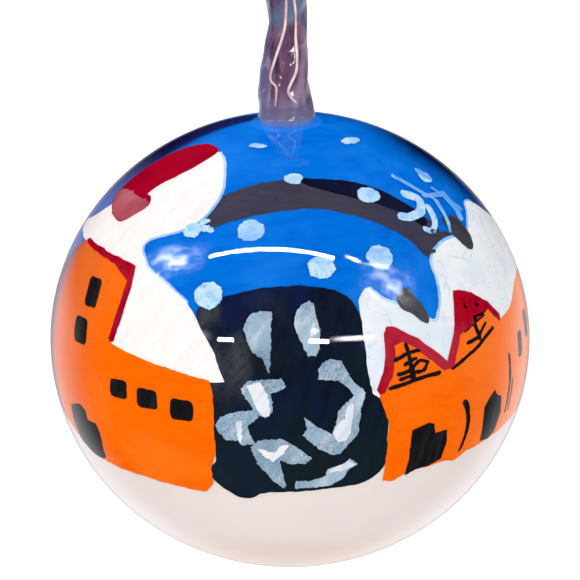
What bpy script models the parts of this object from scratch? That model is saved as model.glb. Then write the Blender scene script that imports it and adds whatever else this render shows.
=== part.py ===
"""A blown-glass christmas ball, painted on its inside, on a drawn glass stem that ends in a loop.

Units are metres and +Z is up. The origin is the top of the hole in the hanging loop, where a ribbon
or a hook carries the ball. The middle of the painted village faces -Y.

Places in the painting are (longitude, latitude) pairs in degrees about the ball's centre. Longitude
is 0 at the front (-Y) and grows towards +X, so 90 is the right side and 180 the back.
"""

import math

import bmesh
import bpy
from mathutils import Vector

MM = 0.001

# Driving dimensions: the ball
BALL_RADIUS = 40 * MM
BALL_HALF_HEIGHT = 38 * MM
GLASS_WALL = 1.0 * MM
BRUSH_HOLE_RADIUS = 4 * MM

# The paint coats lie one under another, each clear of the next
GAP = 0.3 * MM
COAT_THICKNESS = 0.3 * MM
DETAIL_LAYER, HOUSE_LAYER, TREE_LAYER, BACKING_LAYER = range(4)

# The stem: its height, and (height above the crown, radius) down its side
STEM_HEIGHT = 24.5 * MM
STEM_SIDE = [(24.5, 2.4), (22.5, 3.2), (20, 3.4), (17, 3.2), (14.5, 3.2), (11, 3.5), (8, 3.8), (4.5, 4.1)]
STEM_FLARE = [(2.6, 4.4), (1.2, 4.7), (0.4, 5.2), (0, 5.6)]
STEM_LOBES = 3
STEM_LOBE_DEPTH = 0.07
STEM_TWIST = 260.0  # degrees from foot to top

# The hanging loop
LOOP_RADIUS = 6 * MM  # to the middle of its rod
LOOP_ROD_RADIUS = 1.6 * MM
SHANK_LENGTH = 3.2 * MM
SHANK_FOOT_RADIUS = 2.3 * MM
SHANK_TOP_RADIUS = 1.7 * MM

# How finely round things are divided
TURN_STEPS = 36
ARC_STEP = 10.0  # degrees
STEM_STEPS = 18
RING_STEPS = 24
RING_ROD_SIDES = 8
SHANK_SIDES = 16

# Heights above the ball's centre
STEM_FOOT = BALL_HALF_HEIGHT + GAP
SHANK_FOOT = STEM_FOOT + STEM_HEIGHT + GAP
LOOP_CENTRE = SHANK_FOOT + SHANK_LENGTH + LOOP_RADIUS
HANG_POINT = LOOP_CENTRE + LOOP_RADIUS - LOOP_ROD_RADIUS

# Roof lines that a house wall and the snow above it share
LEFT_EAVES = [(-74, 30), (-60, 29.5), (-46, 28), (-45.5, 19), (-47, 9), (-36, 7), (-26, 5.5), (-16, 4)]
LEFT_TRIM_POINTS = 5
RIGHT_GABLES = [(21, 0), (24, 8), (24, 15.5), (31, 11), (40, 4.5), (44, 13), (46, 21.5), (55, 17.5), (63, 12)]
RIGHT_EAVES = [(76, 14.5), (94, 13)]
BACK_GABLES = [(141, 0), (151, 17), (162, 3), (175, 20), (191, 1)]
WALL_TO_SNOW = 0.6  # degrees between a wall and the snow above it
TRIM_WIDTH = 2.2  # degrees
SHARPEST_MITRE = 0.5  # a stroke's corner reaches out to its half width over this at most

# A bare tree, in shares of its reach and of the height between its twigs
TRUNK_SHARE = 0.14
TWIG_SHORTENING = 0.2
FIRST_FORK = 0.6
TWIG_RISE = 0.7
TWIG_UNDERSIDE_RISE = 0.55

GLASS = (0.86, 0.84, 0.90)
STEM_GLASS = (0.62, 0.52, 0.66)
SKY_BLUE = (0.01, 0.18, 0.75)
SNOW_WHITE = (0.86, 0.82, 0.79)
HILL_GREY = (0.05, 0.05, 0.08)
TREE_BLACK = (0.012, 0.016, 0.03)
WALL_ORANGE = (1.0, 0.16, 0.003)
ROOF_CRIMSON = (0.32, 0.002, 0.015)
FROST_BLUE = (0.40, 0.60, 0.85)
PAINT_ROUGHNESS = 0.35
BALL_FINISH = {"roughness": 0.02, "transmission": 1.0}
STEM_FINISH = {"roughness": 0.05, "transmission": 0.6}


# Shapes in the painting

def beside(path, width):
    """Two paths, half of width to the left and to the right of a path of (longitude, latitude)."""
    left, right = [], []
    for i, (lon, lat) in enumerate(path):
        squeeze = math.cos(math.radians(lat))
        here = Vector((lon * squeeze, lat))
        runs = []
        for a, b in zip(path[max(i - 1, 0):i + 1], path[max(i, 1):i + 2]):
            runs.append(Vector(((b[0] - a[0]) * squeeze, b[1] - a[1])).normalized())
        along = (runs[0] + runs[-1]).normalized()
        reach = width / 2 / max(along.dot(runs[0]), SHARPEST_MITRE)
        out = Vector((-along.y, along.x)) * reach
        left.append(((here + out).x / squeeze, (here + out).y))
        right.append(((here - out).x / squeeze, (here - out).y))
    return left, right


def stroke(path, width):
    """The outline of a brush stroke along a path."""
    left, right = beside(path, width)
    return left + right[::-1]


def dot(lon, lat, radius, corners=10):
    """A round dot, as wide as it is high on the ball."""
    squeeze = math.cos(math.radians(lat))
    angles = [2 * math.pi * i / corners for i in range(corners)]
    return [(lon + radius * math.cos(a) / squeeze, lat + radius * math.sin(a)) for a in angles]


def block(lon, lat, width, height):
    """An upright rectangle about its middle."""
    return [(lon + x * width / 2, lat + y * height / 2) for x, y in ((-1, -1), (1, -1), (1, 1), (-1, 1))]


def bare_tree(lon, foot, tip, reach, twigs):
    """A leafless tree: twigs that point up and out from both sides of a thin trunk."""
    trunk = reach * TRUNK_SHARE
    rise = (tip - foot) / (twigs + 1)
    right = [(trunk, foot)]
    for i in range(twigs):
        fork = foot + rise * (i + FIRST_FORK)
        out = reach * (1 - TWIG_SHORTENING * i)
        right += [(trunk, fork), (out, fork + rise * TWIG_RISE), (trunk, fork + rise * TWIG_UNDERSIDE_RISE)]
    left = [(-x, lat) for x, lat in reversed(right)]
    return [(lon + x, lat) for x, lat in right + [(0, tip)] + left]


# Tools

def material(name, colour, roughness, transmission=0.0):
    """The material of that name, made when it's first asked for."""
    made = bpy.data.materials.get(name)
    if made:
        return made
    made = bpy.data.materials.new(name)
    made.use_nodes = True
    made.diffuse_color = (*colour, 1)
    shader = made.node_tree.nodes["Principled BSDF"]
    shader.inputs["Base Color"].default_value = (*colour, 1)
    shader.inputs["Roughness"].default_value = roughness
    shader.inputs["Metallic"].default_value = 0.0
    shader.inputs["Transmission Weight"].default_value = transmission
    return made


def paint(name, colour):
    """An opaque paint's material."""
    return material(name, colour, PAINT_ROUGHNESS)


def add_part(name, mesh, surface):
    """A named object of the ornament, placed by the ball's centre."""
    made = bpy.data.objects.new(name, mesh)
    mesh.materials.clear()
    mesh.materials.append(surface)
    parts.objects.link(made)
    made.parent = ball_centre
    return made


def add_cutter(name, mesh, location):
    """A shape that a Boolean uses and that isn't a part itself."""
    made = bpy.data.objects.new(name, mesh)
    cutters.objects.link(made)
    made.parent = ball_centre
    made.location = location
    made.hide_render = True
    made.display_type = "WIRE"
    return made


def profile_mesh(points, closed):
    """A line of (radius, height) points at +X, for a Screw to turn."""
    edges = [(i, i + 1) for i in range(len(points) - 1)]
    if closed:
        edges.append((len(points) - 1, 0))
    mesh = bpy.data.meshes.new("profile")
    mesh.from_pydata([(radius, 0, height) for radius, height in points], edges, [])
    return mesh


def turn(made, steps):
    """Turns an object's profile about its Z axis."""
    screw = made.modifiers.new("turn", "SCREW")
    screw.steps = steps
    screw.render_steps = steps
    screw.use_merge_vertices = True
    screw.merge_threshold = 0.00001
    screw.use_smooth_shade = True


def evaluated_mesh(made):
    """A new mesh of an object with its modifiers or its curve applied."""
    bpy.context.view_layer.update()
    seen = made.evaluated_get(bpy.context.evaluated_depsgraph_get())
    return bpy.data.meshes.new_from_object(seen)


# Surfaces that follow the ball

def layer_depth(layer):
    """How far under the ball's outside a paint layer's own outside lies."""
    return GLASS_WALL + GAP + layer * (COAT_THICKNESS + GAP)


def on_ball(lon, lat, depth):
    """The point at a longitude and latitude, a depth under the ball's outside."""
    lon, lat = math.radians(lon), math.radians(lat)
    across = (BALL_RADIUS - depth) * math.cos(lat)
    up = (BALL_HALF_HEIGHT - depth) * math.sin(lat)
    return Vector((across * math.sin(lon), -across * math.cos(lon), up))


def arc(depth, top, bottom):
    """(radius, height) points down the ball at one depth, from latitude top to latitude bottom."""
    steps = math.ceil((top - bottom) / ARC_STEP)
    spots = [on_ball(90, top + (bottom - top) * i / steps, depth) for i in range(steps + 1)]
    return [(spot.x, spot.z) for spot in spots]


def hole_latitude(depth):
    """The latitude at which the brush hole's edge meets the ball at a depth."""
    return -math.degrees(math.acos(BRUSH_HOLE_RADIUS / (BALL_RADIUS - depth)))


def add_shell(name, depth, thickness, top, bottom, surface):
    """A turned shell between two latitudes. At latitude 90 it closes over the ball's crown."""
    points = arc(depth, top, bottom) + arc(depth + thickness, top, bottom)[::-1]
    made = add_part(name, profile_mesh(points, top < 90), surface)
    turn(made, TURN_STEPS)
    return made


def flat_outline(outline, rounded):
    """A filled 2D curve of an outline, one unit to a degree, as a flat mesh."""
    curve = bpy.data.curves.new("outline", "CURVE")
    curve.dimensions = "2D"
    curve.fill_mode = "BOTH"
    curve.resolution_u = 2 if rounded else 1
    spline = curve.splines.new("BEZIER")
    spline.use_cyclic_u = True
    spline.bezier_points.add(len(outline) - 1)
    for point, (lon, lat) in zip(spline.bezier_points, outline):
        point.co = (lon, lat, 0)
        point.handle_left_type = "AUTO" if rounded else "VECTOR"
        point.handle_right_type = point.handle_left_type
    holder = bpy.data.objects.new("outline", curve)
    cutters.objects.link(holder)
    mesh = evaluated_mesh(holder)
    bpy.data.objects.remove(holder)
    return mesh


def bend_onto_ball(mesh, depth):
    """Cuts a flat mesh along a grid of degrees, so that it can bend, and lays it on the ball."""
    sheet = bmesh.new()
    sheet.from_mesh(mesh)
    for axis in (0, 1):
        places = [vert.co[axis] for vert in sheet.verts]
        for line in range(math.ceil(min(places) / ARC_STEP), math.floor(max(places) / ARC_STEP) + 1):
            through = Vector((0, 0, 0))
            through[axis] = line * ARC_STEP
            across = Vector((0, 0, 0))
            across[axis] = 1
            whole = sheet.verts[:] + sheet.edges[:] + sheet.faces[:]
            bmesh.ops.bisect_plane(sheet, geom=whole, plane_co=through, plane_no=across, dist=0.01)
    bmesh.ops.remove_doubles(sheet, verts=sheet.verts, dist=0.05)
    for face in sheet.faces:
        if face.normal.z < 0:
            face.normal_flip()
    bmesh.ops.triangulate(sheet, faces=sheet.faces[:])
    for vert in sheet.verts:
        vert.co = on_ball(vert.co.x, vert.co.y, depth)
    sheet.to_mesh(mesh)
    sheet.free()
    mesh.shade_smooth()


def add_coat(name, layer, surface, outline, rounded=True):
    """One mark of the painting: a film inside the glass, in the shape of its outline."""
    mesh = flat_outline(outline, rounded)
    bend_onto_ball(mesh, layer_depth(layer))
    made = add_part(name, mesh, surface)
    film = made.modifiers.new("film", "SOLIDIFY")
    film.thickness = COAT_THICKNESS
    film.offset = -1
    return made


def add_coats(name, layer, surface, outlines, rounded=True):
    """Marks of one kind, numbered from 1."""
    for number, outline in enumerate(outlines, 1):
        add_coat(f"{name}_{number}", layer, surface, outline, rounded)


# The glass

def add_glass_ball():
    """The blown ball, open at the brush hole under it."""
    surface = material("clear_glass", GLASS, **BALL_FINISH)
    points = arc(0, 90, hole_latitude(0)) + arc(GLASS_WALL, 90, hole_latitude(GLASS_WALL))[::-1]
    made = add_part("glass_ball", profile_mesh(points, False), surface)
    turn(made, TURN_STEPS)


def crown_drop(radius):
    """How far the ball has curved down from its crown at a radius."""
    return BALL_HALF_HEIGHT * (1 - math.sqrt(1 - (radius / BALL_RADIUS) ** 2))


def add_twisted_stem():
    """The drawn stem: a turned rod with a flared foot that fits the crown, pressed into twisted lobes."""
    side = [(radius * MM, height * MM) for height, radius in STEM_SIDE + STEM_FLARE]
    foot_radius = side[-1][0]
    side[-1] = (foot_radius, -crown_drop(foot_radius))
    under = [(radius, -crown_drop(radius)) for radius in (foot_radius / 2, 0)]
    points = [(0, STEM_HEIGHT)] + side + under
    surface = material("stem_glass", STEM_GLASS, **STEM_FINISH)
    blank = add_part("stem_blank", profile_mesh(points, False), surface)
    turn(blank, STEM_STEPS)
    mesh = evaluated_mesh(blank)
    bpy.data.objects.remove(blank)
    for vert in mesh.vertices:
        share = vert.co.z / STEM_HEIGHT
        angle = math.atan2(vert.co.y, vert.co.x) - math.radians(STEM_TWIST) * share
        lobe = 1 + STEM_LOBE_DEPTH * math.cos(STEM_LOBES * angle) * math.sin(math.pi * min(max(share, 0), 1))
        vert.co.x *= lobe
        vert.co.y *= lobe
    made = add_part("twisted_stem", mesh, surface)
    made.location.z = STEM_FOOT


def add_hanging_loop():
    """A glass ring with a short shank under it, which meets the stem's top."""
    bpy.ops.mesh.primitive_torus_add(
        major_radius=LOOP_RADIUS,
        minor_radius=LOOP_ROD_RADIUS,
        major_segments=RING_STEPS,
        minor_segments=RING_ROD_SIDES,
    )
    ring = bpy.context.object
    made = add_part("hanging_loop", ring.data, material("stem_glass", STEM_GLASS, **STEM_FINISH))
    bpy.data.objects.remove(ring)
    made.rotation_euler.x = math.radians(90)
    made.location.z = LOOP_CENTRE
    bpy.ops.mesh.primitive_cone_add(
        vertices=SHANK_SIDES,
        radius1=SHANK_FOOT_RADIUS,
        radius2=SHANK_TOP_RADIUS,
        depth=SHANK_LENGTH,
    )
    cone = bpy.context.object
    shank = add_cutter("loop_shank", cone.data, (0, 0, SHANK_FOOT + SHANK_LENGTH / 2))
    bpy.data.objects.remove(cone)
    join = made.modifiers.new("shank", "BOOLEAN")
    join.operation = "UNION"
    join.object = shank
    made.data.shade_smooth()


# The painting

def add_backing():
    """The sky over the upper part of the ball and the snow under it."""
    depth = layer_depth(BACKING_LAYER)
    horizon, clearance = -6, 0.5
    sky = paint("sky_paint", SKY_BLUE)
    add_shell("sky_coat", depth, COAT_THICKNESS, 90, horizon, sky)
    snow = paint("snow_paint", SNOW_WHITE)
    add_shell("snow_ground_coat", depth, COAT_THICKNESS, horizon - clearance, hole_latitude(depth), snow)


def add_hills():
    """The dark hills that arch across the sky, in front and at the back."""
    grey = paint("hill_paint", HILL_GREY)
    upper = [(-27, 41), (-29, 44), (-25, 51), (-14, 55.5), (0, 57.5), (14, 57), (28, 54.5), (38, 51)]
    lower = [(44, 45), (50, 35), (47, 32.5), (41, 32), (38, 37), (30, 42), (20, 46), (5, 48)]
    left_end = [(-10, 46), (-20, 44)]
    add_coat("hill_coat", TREE_LAYER, grey, upper + lower + left_end)
    crest = [(108, 30), (122, 40), (145, 46), (170, 44), (195, 37), (215, 30), (228, 24)]
    foot = [(220, 17), (200, 24), (170, 32), (145, 33), (125, 26), (112, 24)]
    add_coat("back_hill_coat", TREE_LAYER, grey, crest + foot)


def add_trees():
    """The two big rounded trees."""
    black = paint("tree_paint", TREE_BLACK)
    crown = [(-17, 8), (-21, 14), (-23, 20), (-17, 24), (-9, 27), (4, 27.5), (13, 26), (17, 21), (18, 12)]
    foot = [(18, 4), (22, -3), (23, -12), (24, -19), (19, -24), (8, -25.5), (-2, -25.5), (-10, -28.5)]
    side = [(-17, -25), (-19.5, -20), (-17.5, -13), (-17.5, 2)]
    add_coat("tree_coat", TREE_LAYER, black, crown + foot + side)
    crown = [(101, -8), (104, 6), (110, 17), (118, 22), (127, 17), (134, 6), (136, -8)]
    foot = [(132, -23), (118, -26), (104, -23)]
    add_coat("back_tree_coat", TREE_LAYER, black, crown + foot)


def add_tree_snow():
    """Pale brush marks on the dark tree."""
    frost = paint("snow_paint", SNOW_WHITE)
    leaves = [
        [(-12, 15.5), (-8, 20.5), (-5, 21), (-4.8, 6.5), (-8, 12), (-11.5, 13)],
        [(1, 17), (3, 21.5), (6, 22), (7.3, 15), (5.5, 10), (2.5, 11)],
    ]
    upper = [
        [(-11, 1), (-8, 4.5), (-2, 5), (-1.5, 3), (-4, 1), (-4, -2.5), (-6, -4.5), (-8, -1)],
        [(-6.5, -5.5), (-10, -3), (-17, -5.5), (-17.5, -8.5), (-15.5, -11.5), (-12, -12), (-10.5, -7.5)],
    ]
    hook = [(7, 8), (11, 9), (14, 4), (18, 0), (17, -9), (14, -14.5), (8, -14), (2.5, -9), (4, -5.5), (8, -9)]
    hook += [(11, -8.5), (11, -4), (14.5, -0.5), (10, 4.5), (6.5, 5)]
    lower = [
        [(-10.5, -12.5), (-5, -11.5), (-4, -15), (-1.5, -23), (-5, -21), (-9.5, -17)],
        [(-1.5, -11.5), (5.5, -15.5), (3.5, -17.5), (-1, -16.5)],
        [(2, -22), (9, -20.5), (15, -16.5), (17.5, -18), (14, -21.5), (8, -24), (2, -24)],
    ]
    add_coats("tree_snow_mark", DETAIL_LAYER, frost, leaves + upper + [hook] + lower)


def add_roof_snow():
    """The snow above each house, down to its roof line."""
    snow = paint("snow_paint", SNOW_WHITE)
    edge = beside(LEFT_EAVES, WALL_TO_SNOW)[0]
    bank = [(-17, 8), (-21, 14), (-27, 21), (-36, 27), (-43, 30), (-45, 35), (-33, 41), (-27, 46), (-27, 54)]
    crest = [(-33, 61), (-41, 65), (-50, 63), (-60, 55), (-72, 44), (-84, 35), (-84, 31)]
    add_coat("left_roof_snow", HOUSE_LAYER, snow, edge + bank + crest, rounded=False)
    edge = beside(RIGHT_GABLES + RIGHT_EAVES, WALL_TO_SNOW)[0]
    crest = [(94, 30), (88, 36), (75, 41), (62, 37), (50, 34.5), (42, 32), (41, 25), (39, 19), (36, 15.5)]
    strip = [(29, 20), (24, 24), (19, 26), (17, 20), (18, 9), (18.5, 0.5)]
    add_coat("right_roof_snow", HOUSE_LAYER, snow, edge + crest + strip, rounded=False)
    edge = beside(BACK_GABLES, WALL_TO_SNOW)[0]
    crest = [(195, 6), (193, 22), (182, 31), (170, 30), (160, 23), (150, 27), (140, 20), (137, 4)]
    add_coat("back_roof_snow", HOUSE_LAYER, snow, edge + crest, rounded=False)
    bank = [(199, -24), (200, -6), (210, 8), (224, 15), (240, 10), (254, 14), (265, 20), (272, 18), (274, 8)]
    add_coat("snow_bank", HOUSE_LAYER, snow, bank + [(273, -13), (260, -23), (230, -26)])


def add_houses():
    """Orange walls under the roof lines."""
    orange = paint("wall_paint", WALL_ORANGE)
    edge = beside(LEFT_EAVES, WALL_TO_SNOW)[1] + [(-17.5, -6), (-18.5, -18)]
    foot = [(-20, -25), (-25, -27), (-40, -26), (-55, -24.5), (-66, -21), (-74, -16)]
    add_coat("left_house", HOUSE_LAYER, orange, edge + foot, rounded=False)
    edge = beside(RIGHT_GABLES + RIGHT_EAVES, WALL_TO_SNOW)[1]
    foot = [(94, -13), (80, -14), (66, -16.5), (54, -19), (44, -21.5), (31, -20.5), (30, -23), (26, -24)]
    add_coat("right_house", HOUSE_LAYER, orange, edge + foot + [(24, -21), (22.5, -8)], rounded=False)
    edge = beside(BACK_GABLES, WALL_TO_SNOW)[1]
    add_coat("back_house", HOUSE_LAYER, orange, edge + [(190, -22), (166, -25), (142, -23)], rounded=False)


def add_trims():
    """Crimson edging along the roofs, and the crimson roof at the upper left."""
    crimson = paint("trim_paint", ROOF_CRIMSON)
    left = stroke(LEFT_EAVES[:LEFT_TRIM_POINTS], TRIM_WIDTH)
    add_coat("left_house_trim", DETAIL_LAYER, crimson, left, rounded=False)
    add_coat("right_house_trim", DETAIL_LAYER, crimson, stroke(RIGHT_GABLES, TRIM_WIDTH), rounded=False)
    add_coat("back_house_trim", DETAIL_LAYER, crimson, stroke(BACK_GABLES, TRIM_WIDTH), rounded=False)
    upper = [(-44, 65), (-55, 65), (-66, 60), (-72, 50), (-75, 43)]
    lower = [(-72, 39.5), (-62, 38), (-54, 43), (-57, 48), (-50, 55), (-44, 61)]
    add_coat("crimson_roof", DETAIL_LAYER, crimson, upper + lower)


def add_openings_in_walls():
    """Black windows and doors, and the two upright strokes between the right-hand doors."""
    black = paint("tree_paint", TREE_BLACK)
    narrow = [block(-58.5, 19.5, 5, 6.5), block(-60, 9.5, 5.5, 6)]
    square = [block(-44, -1.7, 5.5, 4.5), block(-35.2, -2.7, 5.5, 4.5), block(-26, -4, 6, 5)]
    add_coats("left_window", DETAIL_LAYER, black, narrow + square, rounded=False)
    right = [block(71.5, 3, 3, 6), block(78, 6, 3, 6)]
    add_coats("right_window", DETAIL_LAYER, black, right, rounded=False)
    stepped = [(-67, -11), (-60, -9.5), (-59, -13), (-54, -13), (-56, -23), (-62, -23.5), (-67, -20)]
    add_coat("left_door", DETAIL_LAYER, black, stepped, rounded=False)
    first = [(30, -10.5), (35, -9), (36.5, -12), (40.5, -11.5), (41, -20), (33, -22)]
    second = [(53, -8.5), (56.5, -5), (60, -7), (61.5, -16), (56, -18)]
    add_coats("right_door", DETAIL_LAYER, black, [first, second], rounded=False)
    thick = stroke([(45, -5), (47.5, -11), (47, -20)], 1.5)
    thin = stroke([(63.5, 2), (64.5, -7), (65, -15)], 1.3)
    add_coats("wall_stroke", DETAIL_LAYER, black, [thick, thin], rounded=False)


def add_bare_trees():
    """A leafless tree in each gable."""
    black = paint("tree_paint", TREE_BLACK)
    gables = [bare_tree(28.5, 3.2, 10.3, 3.6, 2), bare_tree(50.5, 8.2, 16.5, 4.2, 2)]
    add_coats("gable_tree", DETAIL_LAYER, black, gables, rounded=False)


def add_chimneys():
    """Two grey chimneys that lean out of the right-hand snow."""
    grey = paint("hill_paint", HILL_GREY)
    far = [(54.5, 39.5), (59, 39), (60.5, 34), (58, 31.5), (55.5, 35)]
    near = [(31, 25), (27.5, 23.5), (28, 21), (35, 15.8), (35, 19)]
    add_coats("chimney", DETAIL_LAYER, grey, [near, far], rounded=False)


def add_frosted_twig():
    """The pale-blue twig that hangs over the end of the hill."""
    frost = paint("frost_paint", FROST_BLUE)
    path = [(46, 55), (57, 46), (47, 43), (37, 43.5)]
    add_coat("frosted_twig", DETAIL_LAYER, frost, stroke(path, 2), rounded=False)


def add_snow_dots():
    """Falling snow over the front of the sky."""
    frost = paint("frost_paint", FROST_BLUE)
    high = [(-22, 69, 2), (47, 70, 2), (66, 52, 2), (0, 57, 2.3), (30, 50, 2.6)]
    low = [(-31, 40, 2), (-11, 41, 3), (7, 32, 2.8), (25, 33, 3), (-21, 24, 3.2)]
    add_coats("snow_dot", DETAIL_LAYER, frost, [dot(*spot) for spot in high + low], rounded=False)


def new_collection(name):
    """A collection in the scene."""
    made = bpy.data.collections.new(name)
    bpy.context.scene.collection.children.link(made)
    return made


for old in list(bpy.data.objects):
    bpy.data.objects.remove(old)
parts = new_collection("painted_glass_ball")
cutters = new_collection("cutters")
ball_centre = bpy.data.objects.new("ball_centre", None)
ball_centre.location.z = -HANG_POINT
parts.objects.link(ball_centre)

add_glass_ball()
add_twisted_stem()
add_hanging_loop()
add_backing()
add_hills()
add_trees()
add_tree_snow()
add_roof_snow()
add_houses()
add_trims()
add_openings_in_walls()
add_bare_trees()
add_chimneys()
add_frosted_twig()
add_snow_dots()
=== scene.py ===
"""The looks of a blown-glass christmas ball with a winter village painted on its inside.

Units are metres and +Z is up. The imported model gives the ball's size and place, and the painted middle
of the village faces -Y. Places in the painting are (longitude, latitude) pairs in degrees about the
ball's centre. Longitude is 0 at the front and grows towards +X, so 90 is the right side and 180 the back.
"""

import math

import bmesh
import bpy
from mathutils import Matrix, Vector, noise


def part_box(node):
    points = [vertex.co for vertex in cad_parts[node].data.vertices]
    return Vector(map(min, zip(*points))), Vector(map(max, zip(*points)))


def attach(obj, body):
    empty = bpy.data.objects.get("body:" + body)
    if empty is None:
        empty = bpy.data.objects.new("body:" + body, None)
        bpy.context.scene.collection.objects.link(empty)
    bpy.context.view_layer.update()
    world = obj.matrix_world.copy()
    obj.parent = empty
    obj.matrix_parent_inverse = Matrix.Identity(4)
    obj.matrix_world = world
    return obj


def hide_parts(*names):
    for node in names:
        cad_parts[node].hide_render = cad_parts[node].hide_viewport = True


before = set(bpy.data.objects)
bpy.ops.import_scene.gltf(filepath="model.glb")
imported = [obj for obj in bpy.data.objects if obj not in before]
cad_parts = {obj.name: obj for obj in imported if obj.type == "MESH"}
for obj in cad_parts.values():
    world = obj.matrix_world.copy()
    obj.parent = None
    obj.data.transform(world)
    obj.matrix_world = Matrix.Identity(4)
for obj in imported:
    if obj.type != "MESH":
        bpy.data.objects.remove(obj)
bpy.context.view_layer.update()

MM = 0.001

# The ball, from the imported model
LOW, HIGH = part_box("glass_ball")
BALL_RADIUS = (HIGH.x - LOW.x) / 2
BALL_HALF_HEIGHT = BALL_RADIUS * 0.95
CENTRE_HEIGHT = HIGH.z - BALL_HALF_HEIGHT
BRUSH_HOLE_RADIUS = 4 * MM

# The paint lies against the glass in thin layers, the last strokes innermost
PAINT_DEPTH = 1.0 * MM
LAYER_STEP = 0.035 * MM
FILM_THICKNESS = 0.025 * MM
DETAIL, TRIM, WALL, SNOW, TREE, HILL, GROUND, SKY = range(8)
GLASS_WALL = 1.35 * MM

GRID = 2.5  # degrees between the cuts that let a film bend
SHELL_GRID = 2.0
EDGE_STEP = 0.8  # degrees between the points along a painted edge
HAND_DRIFT = 0.28  # degrees that a painted edge wanders
CORNER = 0.42  # 0 gives a block square corners and 1 makes it a diamond


# Colours

def srgb(red, green, blue):
    """A linear colour from 0-255 display values."""
    values = (red / 255, green / 255, blue / 255)
    return tuple(v / 12.92 if v <= 0.04045 else ((v + 0.055) / 1.055) ** 2.4 for v in values)


# Material tools

def new_material(name):
    made = bpy.data.materials.new(name)
    made.use_nodes = True
    made.node_tree.nodes.clear()
    return made


def add_node(tree, kind, settings=None, **inputs):
    """A shader node. Inputs are given by name, with _ for a space, as values or as sockets to link."""
    made = tree.nodes.new(kind)
    for key, value in (settings or {}).items():
        setattr(made, key, value)
    for key, value in inputs.items():
        target = made.inputs[int(key[1:])] if key[0] == "i" and key[1:].isdigit() else made.inputs[key.replace("_", " ")]
        if isinstance(value, bpy.types.NodeSocket):
            tree.links.new(value, target)
        else:
            target.default_value = value
    return made


def mixed(tree, factor, first, second, blend="MIX"):
    """The colour socket of a mix of two colours."""
    node = tree.nodes.new("ShaderNodeMix")
    node.data_type = "RGBA"
    node.blend_type = blend
    for socket, value in ((node.inputs[0], factor), (node.inputs[6], first), (node.inputs[7], second)):
        if isinstance(value, bpy.types.NodeSocket):
            tree.links.new(value, socket)
        elif isinstance(value, tuple):
            socket.default_value = (*value, 1)
        else:
            socket.default_value = value
    return node.outputs[2]


def spread(tree, value, low, high, to_low=0.0, to_high=1.0):
    """A value's range low to high, stretched to another."""
    node = add_node(tree, "ShaderNodeMapRange", {"interpolation_type": "SMOOTHSTEP"}, Value=value)
    for name, number in (("From Min", low), ("From Max", high), ("To Min", to_low), ("To Max", to_high)):
        node.inputs[name].default_value = number
    return node.outputs[0]


def place(tree, scale, angle=0.0):
    """Object coordinates, turned about the front-to-back axis and then scaled by axis."""
    coordinates = add_node(tree, "ShaderNodeTexCoord").outputs["Object"]
    turned = add_node(tree, "ShaderNodeMapping", {"vector_type": "TEXTURE"}, Vector=coordinates)
    turned.inputs["Rotation"].default_value = (0, -math.radians(angle), 0)
    turned.inputs["Scale"].default_value = tuple(1 / s for s in scale)
    return turned.outputs[0]


def noise_value(tree, vector, scale=1.0, detail=3.0, roughness=0.55):
    node = add_node(tree, "ShaderNodeTexNoise", Vector=vector, Scale=scale, Detail=detail, Roughness=roughness)
    return node.outputs["Fac"]


def position_part(tree, axis):
    """A surface's place along X, Y or Z in millimetres, Y and Z from the ball's centre."""
    coordinates = add_node(tree, "ShaderNodeTexCoord").outputs["Object"]
    part = add_node(tree, "ShaderNodeSeparateXYZ", Vector=coordinates).outputs[axis]
    centre = CENTRE_HEIGHT if axis == "Z" else 0.0
    moved = add_node(tree, "ShaderNodeMath", {"operation": "SUBTRACT"}, i0=part, i1=centre).outputs[0]
    return add_node(tree, "ShaderNodeMath", {"operation": "DIVIDE"}, i0=moved, i1=MM).outputs[0]


def product(tree, first, second):
    return add_node(tree, "ShaderNodeMath", {"operation": "MULTIPLY"}, i0=first, i1=second).outputs[0]


def longitude(tree):
    """A surface's longitude in degrees, -180 to 180."""
    forward = product(tree, position_part(tree, "Y"), -1.0)
    turn = add_node(tree, "ShaderNodeMath", {"operation": "ARCTAN2"}, i0=position_part(tree, "X"), i1=forward).outputs[0]
    return product(tree, turn, math.degrees(1))


def painted_rim_shade(tree, colour):
    """Painted shade and reflection at the ball's rims: the sky turns navy in a band of painted shade over the ball's
    sides, takes a violet painted reflection at the left, and pales round the stem's foot.
    """
    back = position_part(tree, "Y")
    side = position_part(tree, "X")
    # A band of painted navy shade over the ball's sides.
    band = product(tree, spread(tree, back, -12, 1), spread(tree, back, 9, 26, 1, 0))
    band = product(tree, band, spread(tree, position_part(tree, "Z"), 10, 24))
    band = product(tree, band, spread(tree, product(tree, side, side), 60, 420))
    uneven = noise_value(tree, place(tree, (60, 60, 160)), detail=4)
    colour = mixed(tree, product(tree, band, spread(tree, uneven, 0.25, 0.5, 0.45, 1)), colour, RIM_SHADE_NAVY)
    # Painted reflection and shade round the ball's left rim, violet low down and darker higher up.
    lon = longitude(tree)
    left = product(tree, spread(tree, lon, -80, -70, 1, 0), spread(tree, lon, -126, -108))
    painted_left_rim = mixed(tree, spread(tree, position_part(tree, "Z"), 21, 32), PAINTED_LEFT_RIM_LOW, PAINTED_LEFT_RIM_HIGH)
    return painted_foot_reflection(tree, mixed(tree, product(tree, left, 0.9), colour, painted_left_rim), side, back)


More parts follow.
